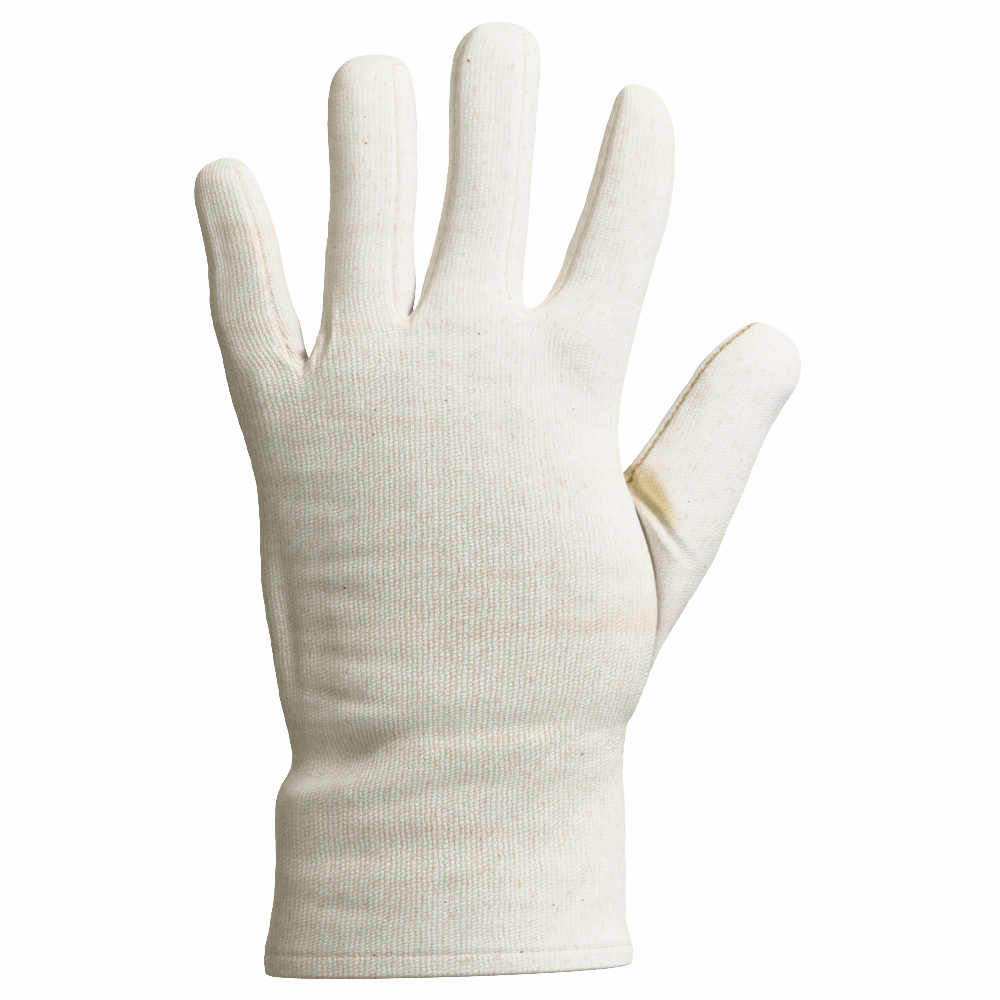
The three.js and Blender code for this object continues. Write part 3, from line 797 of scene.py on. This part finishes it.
def clothPiece(name, node, panel, thickness):
    # One panel with its thickness: the outside is fine, the inside once less, and walls
    # of five corners join them.
    fineQuads, fineCloth, finePanels = levels[-1]
    coarseQuads, coarseCloth, coarsePanels = levels[-2]
    outer = fineQuads[finePanels == panel]
    outerCloth = fineCloth[finePanels == panel]
    inner = coarseQuads[coarsePanels == panel]
    innerCloth = coarseCloth[coarsePanels == panel]

    rim = rimOf(outer)
    opening = {i for edge in rimOf(fineQuads) for i in edge}
    place = points.copy()
    pull = {}
    for a, b in rim:
        way = points[b] - points[a]
        for i in (a, b):
            left = np.cross(flatNormals[i], way)
            pull.setdefault(i, []).append(left / np.linalg.norm(left))
    for i, ways in pull.items():
        if i not in opening:
            place[i] += np.sum(ways, axis=0) * glove["seamGap"] / 4
    inside = place - flatNormals * thickness

    used = np.unique(outer)
    order = np.full(len(points), -1)
    order[used] = np.arange(len(used))
    usedInside = np.unique(inner)
    orderInside = np.full(len(points), -1)
    orderInside[usedInside] = len(used) + np.arange(len(usedInside))
    following = {a: b for a, b in rim}
    clothAt = {}
    for quad, places in zip(inner.tolist(), innerCloth.tolist()):
        for k in range(4):
            clothAt[quad[k], quad[(k + 1) % 4]] = (places[k], places[(k + 1) % 4])
    walls = []
    wallCloth = []
    for a, b in rimOf(inner):
        m = following[a]
        walls.append([order[b], order[m], order[a], orderInside[a], orderInside[b]])
        ca, cb = clothAt[a, b]
        wallCloth.append([cb, ca, ca, ca, cb])

    faces = order[outer].tolist() + orderInside[inner[:, ::-1]].tolist() + walls
    corners = outerCloth.ravel().tolist() + innerCloth[:, ::-1].ravel().tolist()
    corners += [c for wall in wallCloth for c in wall]
    mesh = bpy.data.meshes.new(name)
    where = np.concatenate([place[used], inside[usedInside]]) * mm
    mesh.from_pydata(where.tolist(), [], faces)
    uv = mesh.uv_layers.new(name="Cloth")
    uv.data.foreach_set("uv", cloth[corners].astype(np.float32).ravel())
    # Only the thumb's pieces carry the painted shade of the hollow.
    thumbHollowShade = hollowShade if "thumb" in node else hollowShade * 0
    for label, values in (("stainAndShade", stainAndShade), ("hollowShade", thumbHollowShade)):
        attribute = mesh.attributes.new(label, "FLOAT", "POINT")
        both = np.concatenate([values[used], np.zeros(len(usedInside))])
        attribute.data.foreach_set("value", both.astype(np.float32))
    mesh.polygons.foreach_set("use_smooth", np.ones(len(faces), bool))
    mesh.set_sharp_from_angle(angle=math.radians(glove["sharpAngle"]))
    mesh.update()
    piece = newObject(name, mesh)
    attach(piece, "root")
    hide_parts(node)
    return piece


pieces = []
for name, node, panel in (
    ("backPanel", "back_panel", "back_panel"),
    ("palmPanel", "palm_panel", "palm_panel"),
    ("littleRingFourchette", "fourchette_little_ring", "fourchette_1"),
    ("ringMiddleFourchette", "fourchette_ring_middle", "fourchette_2"),
    ("middleIndexFourchette", "fourchette_middle_index", "fourchette_3"),
    ("thumbBack", "thumb_back", "thumb_back"),
    ("thumbPalm", "thumb_palm", "thumb_palm"),
    ("cuffHem", "cuff_hem", "cuff_hem"),
):
    thickness = glove["hemThickness" if name == "cuffHem" else "clothThickness"]
    piece = clothPiece(name, node, panel, thickness)
    pieces.append(piece)
    print(name, "made:", len(piece.data.polygons), "faces")


# Shader maths: a signal is a socket's output, and sums on it add Math nodes.
class Signal:
    def __init__(self, maker, socket):
        self.maker = maker
        self.socket = socket

    def math(self, operation, *others):
        inputs = dict(enumerate([self, *others]))
        return self.maker.add("ShaderNodeMath", {"operation": operation}, inputs)

    def mathUnder(self, operation, other):
        # The same with this signal second.
        return self.maker.add("ShaderNodeMath", {"operation": operation}, {0: other, 1: self})

    def output(self, label):
        # Another output of the same node.
        return Signal(self.maker, self.socket.node.outputs[label])

    def __add__(self, other):
        return self.math("ADD", other)

    def __sub__(self, other):
        return self.math("SUBTRACT", other)

    def __mul__(self, other):
        return self.math("MULTIPLY", other)

    def __truediv__(self, other):
        return self.math("DIVIDE", other)

    def __rsub__(self, other):
        return self.mathUnder("SUBTRACT", other)

    def __rtruediv__(self, other):
        return self.mathUnder("DIVIDE", other)

    __radd__ = __add__
    __rmul__ = __mul__

    def between(self, low, high):
        # Rises softly from 0 at low to 1 at high.
        return self.maker.add(
            "ShaderNodeMapRange", {"interpolation_type": "SMOOTHSTEP"},
            {"Value": self, "From Min": low, "From Max": high},
        )


class Finish:
    # One material's node tree.
    def __init__(self, name):
        self.material = bpy.data.materials.new(name)
        self.material.use_nodes = True
        self.tree = self.material.node_tree
        self.tree.nodes.clear()

    def add(self, kind, settings=None, inputs=None, output=0):
        node = self.tree.nodes.new(kind)
        for key, value in (settings or {}).items():
            setattr(node, key, value)
        for key, value in (inputs or {}).items():
            if isinstance(value, Signal):
                self.tree.links.new(value.socket, node.inputs[key])
            else:
                node.inputs[key].default_value = value
        return None if output is None else Signal(self, node.outputs[output])

    def flatNoise(self, place, scale, detail, roughness=0.6):
        return self.add(
            "ShaderNodeTexNoise", {"noise_dimensions": "2D"},
            {"Vector": place, "Scale": scale, "Detail": detail, "Roughness": roughness},
        )

    def noise(self, place, scale, detail):
        return self.add(
            "ShaderNodeTexNoise", None, {"Vector": place, "Scale": scale, "Detail": detail},
        )

    def finish(self, inputs):
        shader = self.add("ShaderNodeBsdfPrincipled", None, inputs)
        self.add("ShaderNodeOutputMaterial", None, {"Surface": shader}, None)

    def mix(self, share, one, other, how="MIX"):
        # Mixes two colours.
        settings = {"data_type": "RGBA", "blend_type": how}
        return self.add("ShaderNodeMix", settings, {0: share, 6: one, 7: other}, 2)


def linear(red, green, blue):
    # A colour as it looks on screen, from 0 to 255, in the values that shaders use.
    values = [v / 255 for v in (red, green, blue)]
    return (*[v / 12.92 if v <= 0.04045 else ((v + 0.055) / 1.055) ** 2.4 for v in values], 1)


knit = {
    "columnPitch": 1.28,   # mm from one column of stitches to the next
    "loopPitch": 1.02,     # mm from one loop to the next in a column
    "slant": 0.2,          # how far a loop leans over in its column
    "drop": 0.55,          # how far it falls from one side to the other
    "wander": (0.13, 2, 0.9),    # scale, detail and reach of what bends the columns
    "fine": (0.8, 2, 0.8),
    "fibre": (3.2, 3, 1.1),
    "loopDrift": 1.1,
    "bright": linear(244, 241, 240),
    "dull": linear(238, 234, 227),
    "gap": linear(221, 214, 192),
    "stainAndShade": linear(222, 208, 178),
    "seam": linear(200, 180, 138),
    "hollowShade": linear(218, 204, 164),
    "speck": linear(120, 92, 60),
    "patches": (26.0, 5.0, 0.45),    # scale, detail and strength
    "flecks": (0.75, 1.0, 0.3),
    "fleckStretch": (1.0, 0.45, 1.0),
    "bands": (1.0, 2.0, 0.18),
    "bandStretch": (6.0, 6.0, 95.0),
    "speckScale": 0.12,
    "speckSize": (0.016, 0.035),     # smallest, and how much more the largest has
    "speckStrength": 0.8,
    # Painted light: where the knitting's colour fades out towards the brightly lit parts
    "fadeFrom": 0.07,              # metres up where the knitting shows most
    "fadeReach": (0.02, 0.11),
    "paintedLightFade": (0.9, 0.72),         # how much it then loses in colour and in relief
    "relief": 0.00026,
    "roughness": 0.95,
    "sheen": 0.15,
}


def knitFinish():
    f = Finish("cottonJersey")
    uv = f.add("ShaderNodeUVMap", {"uv_map": "Cloth"})
    u = f.add("ShaderNodeSeparateXYZ", None, {0: uv})
    v = u.output(1)
    where = f.add("ShaderNodeTexCoord", None, None, "Object")
    wander = f.flatNoise(uv, *knit["wander"][:2])
    fine = f.flatNoise(uv, *knit["fine"][:2])
    fibre = f.flatNoise(uv, *knit["fibre"][:2])
    bent = (wander - 0.5) * knit["wander"][2] + (fine - 0.5) * knit["fine"][2]
    columns = (u + bent) / knit["columnPitch"]
    column = columns.math("FLOOR")
    across = columns - column - 0.5
    shift = f.add("ShaderNodeTexWhiteNoise", {"noise_dimensions": "1D"}, {"W": column})
    loops = v / knit["loopPitch"] + shift + (fine - 0.5) * knit["loopDrift"]
    loops = loops - across * knit["drop"]
    loop = loops.math("FLOOR")
    up = loops - loop - 0.5
    cell = f.add("ShaderNodeCombineXYZ", None, {0: column, 1: loop})
    chance = f.add("ShaderNodeTexWhiteNoise", {"noise_dimensions": "2D"}, {"Vector": cell})
    x = (across - up * knit["slant"]).math("ABSOLUTE") * 2
    yarn = 1 - x.between(0.2, 1.0) * 0.9
    bead = 1 - (up.math("ABSOLUTE") * 2).between(0.2, 1.1) * 0.9
    fuzz = (fibre - 0.5) * knit["fibre"][2]
    patches = f.noise(where, *knit["patches"][:2])
    fleckPlace = f.add("ShaderNodeMapping", None, {0: uv, 3: knit["fleckStretch"]})
    fleckSize = dict(zip(("Scale", "Detail"), knit["flecks"]))
    flecks = f.add(
        "ShaderNodeTexNoise", {"noise_dimensions": "2D"}, {"Vector": fleckPlace, **fleckSize},
    )
    spots = f.add(
        "ShaderNodeTexVoronoi", {"voronoi_dimensions": "2D"},
        {"Vector": uv, "Scale": knit["speckScale"]},
    )
    kind = f.add("ShaderNodeSeparateColor", None, {0: spots.output("Color")})
    smallest, more = knit["speckSize"]
    size = kind.output(1) * more + smallest
    speck = (1 - (spots / size).between(0.6, 1.1)) * kind.between(0.88, 0.9)
    bandPlace = f.add("ShaderNodeMapping", None, {0: where, 3: knit["bandStretch"]})
    bands = f.noise(bandPlace, *knit["bands"][:2])
    stainAndShade = f.add("ShaderNodeAttribute", {"attribute_name": "stainAndShade"}, None, "Fac")
    hollowShade = f.add("ShaderNodeAttribute", {"attribute_name": "hollowShade"}, None, "Fac")

    light = (yarn * 0.55 + bead * 0.3 + chance * 0.3 + fuzz).between(0.25, 1.1)
    # Painted light: the knitting's colour fades to an even pale tone away from low on the hand, on the
    # little finger's side, where it shows most; it fades most up the fingers and towards the thumb's side,
    # where the light falls brightest. The same mask also lowers the relief.
    spot = f.add("ShaderNodeSeparateXYZ", None, {0: where})
    fromThere = (spot.output(2) - knit["fadeFrom"]).math("ABSOLUTE") + spot
    paintedLightFade = fromThere.between(*knit["fadeReach"])
    lessColour, lessRelief = knit["paintedLightFade"]
    gap = f.mix(paintedLightFade * lessColour, knit["gap"], knit["dull"])
    colour = f.mix(light, gap, knit["bright"])
    colour = f.mix(patches.between(0.45, 0.7) * knit["patches"][2], colour, knit["dull"])
    # Flecks and bands are the yarn's tone, uneven at random.
    for label, marks in (
        ("flecks", flecks.between(0.6, 0.74)),
        ("bands", bands.between(0.5, 0.72)),
    ):
        colour = f.mix(marks * knit[label][2], colour, knit["stainAndShade"], "MULTIPLY")
    # Darkened seam dashes: the seams' own tan and painted shade in their grooves, strongest along the
    # thumb's inner seam.
    dashes = (stainAndShade * (0.6 + fine.between(0.3, 0.6))).between(0.1, 1.2)
    colour = f.mix(dashes, colour, knit["seam"], "MULTIPLY")
    # Painted shade: the hollow beside the thumb is darkened to a warm tan.
    colour = f.mix(hollowShade.between(0.1, 0.9), colour, knit["hollowShade"], "MULTIPLY")
    colour = f.mix(speck * knit["speckStrength"], colour, knit["speck"])
    height = yarn * bead * 0.9 + chance * 0.6 + (fibre - 0.5) * 1.3
    height = height * (1 - paintedLightFade * lessRelief)
    bump = f.add(
        "ShaderNodeBump", None, {"Strength": 1.0, "Distance": knit["relief"], "Height": height},
    )
    f.finish({
        "Base Color": colour,
        "Roughness": knit["roughness"],
        "Specular IOR Level": 0.15,
        "Sheen Weight": knit["sheen"],
        "Sheen Roughness": 0.5,
        "Normal": bump,
    })
    return f.material


jersey = knitFinish()
for piece in pieces:
    piece.data.materials.append(jersey)
print("jersey finish made")

# Stitches: short threads that dip into the cloth at both ends, one after the other
# along a seam line.
stitches = {
    "seam": {"pitch": 2.5, "length": 1.35, "thickness": 0.4, "rise": 0.16, "sink": 0.3},
    "hem": {"pitch": 3.1, "length": 2.3, "thickness": 0.42, "rise": 0.3, "sink": 0.4},
    "sides": 6,
    "steps": 5,                     # along the arch of one stitch
    "turn": (0.04, 0.05, 0.2),      # how far one may lean or turn either way
    "smallest": (0.75, 0.9, 0.7),
    "largest": (1.15, 1.1, 1.1),
    "seed": 4,
    "shortestLine": 7,              # points that a seam line has to have
}
threadLook = {
    "twist": (2600.0, 2.0),         # scale and detail
    "worn": (90.0, 2.0),
    "dull": linear(226, 212, 182),
    "bright": linear(240, 234, 220),
    "twistColour": linear(200, 182, 146),
    "twistStrength": 0.4,
    "relief": 0.0001,
    "roughness": 0.85,
}


def stitchTree():
    tree = bpy.data.node_groups.new("stitchesAlongLine", "GeometryNodeTree")
    face = tree.interface
    face.new_socket("Lines", in_out="INPUT", socket_type="NodeSocketGeometry")
    for label in ("Pitch", "Length", "Thickness", "Rise", "Sink"):
        face.new_socket(label, in_out="INPUT", socket_type="NodeSocketFloat")
    face.new_socket("Sides", in_out="INPUT", socket_type="NodeSocketInt")
    face.new_socket("Seed", in_out="INPUT", socket_type="NodeSocketInt")
    face.new_socket("Thread", in_out="INPUT", socket_type="NodeSocketMaterial")
    face.new_socket("Stitches", in_out="OUTPUT", socket_type="NodeSocketGeometry")

    def add(kind, settings=None, inputs=None):
        node = tree.nodes.new(kind)
        for key, value in (settings or {}).items():
            setattr(node, key, value)
        for key, value in (inputs or {}).items():
            if isinstance(value, bpy.types.NodeSocket):
                tree.links.new(value, node.inputs[key])
            else:
                node.inputs[key].default_value = value
        return node

    def times(label, factor):
        return add("ShaderNodeMath", {"operation": "MULTIPLY"}, {0: given[label], 1: factor}).outputs[0]

    given = add("NodeGroupInput").outputs
    curve = add("GeometryNodeMeshToCurve", None, {"Mesh": given["Lines"]})
    row = add(
        "GeometryNodeResampleCurve", {"mode": "LENGTH"},
        {"Curve": curve.outputs[0], "Length": given["Pitch"]},
    )
    down = times("Sink", -1.0)
    start = add("ShaderNodeCombineXYZ", None, {0: times("Length", -0.5), 2: down})
    end = add("ShaderNodeCombineXYZ", None, {0: times("Length", 0.5), 2: down})
    top = add("ShaderNodeCombineXYZ", None, {2: given["Rise"]})
    arch = add("GeometryNodeCurveQuadraticBezier", None, {
        "Resolution": stitches["steps"], "Start": start.outputs[0],
        "Middle": top.outputs[0], "End": end.outputs[0],
    })
    ring = add(
        "GeometryNodeCurvePrimitiveCircle", None,
        {"Resolution": given["Sides"], "Radius": times("Thickness", 0.5)},
    )
    stitch = add(
        "GeometryNodeCurveToMesh", None,
        {"Curve": arch.outputs[0], "Profile Curve": ring.outputs[0], "Fill Caps": True},
    )
    away = add(
        "GeometryNodeInputNamedAttribute", {"data_type": "FLOAT_VECTOR"}, {"Name": "away"},
    )
    upright = add(
        "FunctionNodeAlignRotationToVector", {"axis": "Z"}, {"Vector": away.outputs[0]},
    )
    tangent = add("GeometryNodeInputTangent")
    turned = add(
        "FunctionNodeAlignRotationToVector", {"axis": "X", "pivot_axis": "Z"},
        {"Rotation": upright.outputs[0], "Vector": tangent.outputs[0]},
    )
    turn = stitches["turn"]
    sway = add(
        "FunctionNodeRandomValue", {"data_type": "FLOAT_VECTOR"},
        {0: [-t for t in turn], 1: turn, "Seed": given["Seed"]},
    )
    swayed = add(
        "FunctionNodeRotateRotation", {"rotation_space": "LOCAL"},
        {0: turned.outputs[0], 1: sway.outputs[0]},
    )
    size = add(
        "FunctionNodeRandomValue", {"data_type": "FLOAT_VECTOR"},
        {0: stitches["smallest"], 1: stitches["largest"], "Seed": given["Seed"]},
    )
    placed = add("GeometryNodeInstanceOnPoints", None, {
        "Points": row.outputs[0], "Instance": stitch.outputs[0],
        "Rotation": swayed.outputs[0], "Scale": size.outputs[0],
    })
    real = add("GeometryNodeRealizeInstances", None, {0: placed.outputs[0]})
    soft = add("GeometryNodeSetShadeSmooth", None, {0: real.outputs[0]})
    made = add(
        "GeometryNodeSetMaterial", None, {"Geometry": soft.outputs[0], "Material": given["Thread"]},
    )
    add("NodeGroupOutput", None, {0: made.outputs[0]})
    return tree


def threadFinish():
    f = Finish("cottonThread")
    where = f.add("ShaderNodeTexCoord", None, None, "Object")
    twist = f.noise(where, *threadLook["twist"])
    worn = f.noise(where, *threadLook["worn"]).between(0.35, 0.65)
    colour = f.mix(worn, threadLook["dull"], threadLook["bright"])
    share = twist * threadLook["twistStrength"]
    colour = f.mix(share, colour, threadLook["twistColour"], "MULTIPLY")
    bump = f.add(
        "ShaderNodeBump", None,
        {"Strength": 0.7, "Distance": threadLook["relief"], "Height": twist},
    )
    f.finish({
        "Base Color": colour,
        "Roughness": threadLook["roughness"],
        "Specular IOR Level": 0.25,
        "Normal": bump,
    })
    return f.material


def stitchPiece(name, kind, lines, tree, thread):
    # The seam lines as a mesh of edges that knows which way is out of the cloth.
    where, edges, away = [], [], []
    for line in lines:
        first = len(where)
        where += (points[line] * mm).tolist()
        away += normals[line].ravel().tolist()
        edges += [(first + k, first + k + 1) for k in range(len(line) - 1)]
    mesh = bpy.data.meshes.new(f"{name}Lines")
    mesh.from_pydata(where, edges, [])
    attribute = mesh.attributes.new("away", "FLOAT_VECTOR", "POINT")
    attribute.data.foreach_set("vector", away)
    source = newObject(f"{name}Lines", mesh)
    modifier = source.modifiers.new("stitches", "NODES")
    modifier.node_group = tree
    sizes = {label.capitalize(): value * mm for label, value in stitches[kind].items()}
    sizes.update({"Sides": stitches["sides"], "Seed": stitches["seed"], "Thread": thread})
    for item in tree.interface.items_tree:
        if item.in_out == "INPUT" and item.name in sizes:
            modifier[item.identifier] = sizes[item.name]
    bpy.context.view_layer.update()
    ready = source.evaluated_get(bpy.context.evaluated_depsgraph_get())
    made = bpy.data.meshes.new_from_object(ready)
    made.name = name
    source.modifiers.remove(modifier)
    bpy.data.objects.remove(source)
    piece = newObject(name, made)
    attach(piece, "root")
    return piece


tree = stitchTree()
thread = threadFinish()
longLines = [line for line in sewnLines if len(line) >= stitches["shortestLine"]]
for name, kind, chosen in (
    ("seamStitches", "seam", longLines),
    ("hemStitches", "hem", hemLines),
):
    piece = stitchPiece(name, kind, chosen, tree, thread)
    print(name, "made:", len(piece.data.polygons), "faces")

view = {
    "place": (0.0132, -1.5, 0.1219),
    "frameWidth": 0.25907,    # what the picture takes in from side to side, at the glove
    "sensor": 36,
}
lights = {
    "keyLight": {
        "place": (1.34, -1.17, 1.4), "size": 1.2, "power": 53, "colour": (0.86, 0.885, 1),
    },
    "backLight": {
        "place": (-0.9, 1.7, 1.0), "size": 0.9, "power": 10, "colour": (1, 0.98, 0.92),
    },
}
lightAim = (0.01, 0, 0.12)
room = {
    "floor": -0.2,
    "floorReach": 1.5,
    "floorSides": 96,
    "brightWay": (0.5, -0.4, 0.77),
    "low": 0.1,
    "high": 0.72,
    "colour": (1, 0.95, 0.74, 1),
    "behind": 8,              # how bright the white is that the camera sees
}


def floorFinish():
    f = Finish("paleFloor")
    grainy = f.add("ShaderNodeTexNoise", None, {"Scale": 30.0, "Detail": 3.0})
    colour = f.mix(grainy, linear(146, 146, 145), linear(152, 152, 151))
    f.finish({"Base Color": colour, "Roughness": 0.8})
    return f.material


def placeFloor():
    mesh = bpy.data.meshes.new("floor")
    sides, r = room["floorSides"], room["floorReach"]
    turns = [2 * math.pi * k / sides for k in range(sides)]
    rim = [(r * math.cos(t), r * math.sin(t), room["floor"]) for t in turns]
    mesh.from_pydata(rim, [], [range(sides)])
    mesh.materials.append(floorFinish())
    floor = newObject("floor", mesh)


def placeCamera():
    camera = bpy.data.cameras.new("camera")
    camera.lens = view["sensor"] * -view["place"][1] / view["frameWidth"]
    camera.sensor_width = view["sensor"]
    eye = newObject("camera", camera)
    eye.location = view["place"]
    eye.rotation_euler = (math.radians(90), 0, 0)
    bpy.context.scene.camera = eye


def softLight(name, place, size, power, colour):
    lamp = bpy.data.lights.new(name, "AREA")
    lamp.shape = "DISK"
    lamp.size = size
    lamp.energy = power
    lamp.color = colour
    light = newObject(name, lamp)
    light.location = place
    light.rotation_euler = (Vector(lightAim) - Vector(place)).to_track_quat("-Z", "Y").to_euler()


def lightRoom():
    # The room is brighter towards the key light and darker low on the other side. The camera
    # sees plain white in its place.
    world = bpy.data.worlds.new("paleRoom")
    world.use_nodes = True
    nodes, links = world.node_tree.nodes, world.node_tree.links
    nodes.clear()
    path = nodes.new("ShaderNodeLightPath")
    way = nodes.new("ShaderNodeTexCoord")
    facing = nodes.new("ShaderNodeVectorMath")
    facing.operation = "DOT_PRODUCT"
    facing.inputs[1].default_value = room["brightWay"]
    glow = nodes.new("ShaderNodeMapRange")
    glow.inputs["From Min"].default_value = -1
    glow.inputs["To Min"].default_value = room["low"]
    glow.inputs["To Max"].default_value = room["high"]
    walls = nodes.new("ShaderNodeBackground")
    walls.inputs["Color"].default_value = room["colour"]
    white = nodes.new("ShaderNodeBackground")
    white.inputs["Color"].default_value = (1, 1, 1, 1)
    white.inputs["Strength"].default_value = room["behind"]
    choose = nodes.new("ShaderNodeMixShader")
    out = nodes.new("ShaderNodeOutputWorld")
    for source, target in (
        (way.outputs["Generated"], facing.inputs[0]),
        (facing.outputs["Value"], glow.inputs["Value"]),
        (glow.outputs[0], walls.inputs["Strength"]),
        (path.outputs["Is Camera Ray"], choose.inputs[0]),
        (walls.outputs[0], choose.inputs[1]),
        (white.outputs[0], choose.inputs[2]),
        (choose.outputs[0], out.inputs[0]),
    ):
        links.new(source, target)
    bpy.context.scene.world = world
    bpy.context.scene.view_settings.view_transform = "Khronos PBR Neutral"


placeFloor()
placeCamera()
for name, light in lights.items():
    softLight(name, **light)
lightRoom()
print("stage set")
